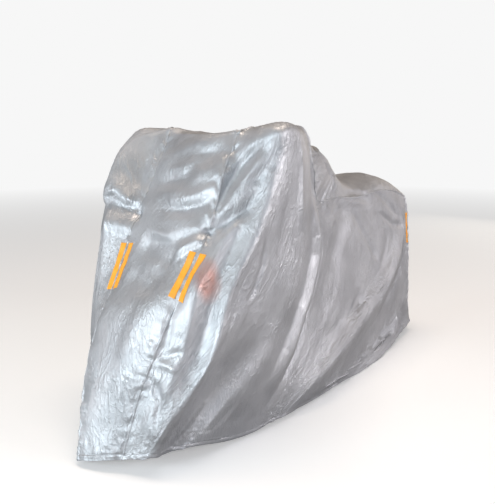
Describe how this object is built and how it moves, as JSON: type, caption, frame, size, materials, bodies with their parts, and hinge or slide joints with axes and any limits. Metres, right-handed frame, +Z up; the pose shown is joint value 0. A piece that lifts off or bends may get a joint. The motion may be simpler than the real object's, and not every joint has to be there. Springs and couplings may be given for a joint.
{
  "type": "motorcycle cover",
  "caption": "Fitted silver-coated cloth cover in the shape in which it hangs over a motorcycle, hollow and open below, with a gathered hem and reflective bars along its seams.",
  "frame": {"origin": "centre of the cover's plan, on the ground that its hem just clears", "axes": "+X to the machine's left, +Y to its rear, +Z up"},
  "size_m": [0.7993, 2.2005, 1.1582],
  "materials": {
    "silver_cloth": "crinkled woven polyester with a glossy silver coating",
    "orange_bar": "bright orange reflective tape, satin"
  },
  "bodies": {
    "root": {"side_panel_left": "silver_cloth", "side_panel_right": "silver_cloth", "center_panel": "silver_cloth", "bar_front_left_outer": "orange_bar", "bar_front_left_inner": "orange_bar", "bar_front_right_outer": "orange_bar", "bar_front_right_inner": "orange_bar", "bar_rear_left_outer": "orange_bar", "bar_rear_left_inner": "orange_bar", "bar_rear_right_outer": "orange_bar", "bar_rear_right_inner": "orange_bar"}
  },
  "joints": []
}
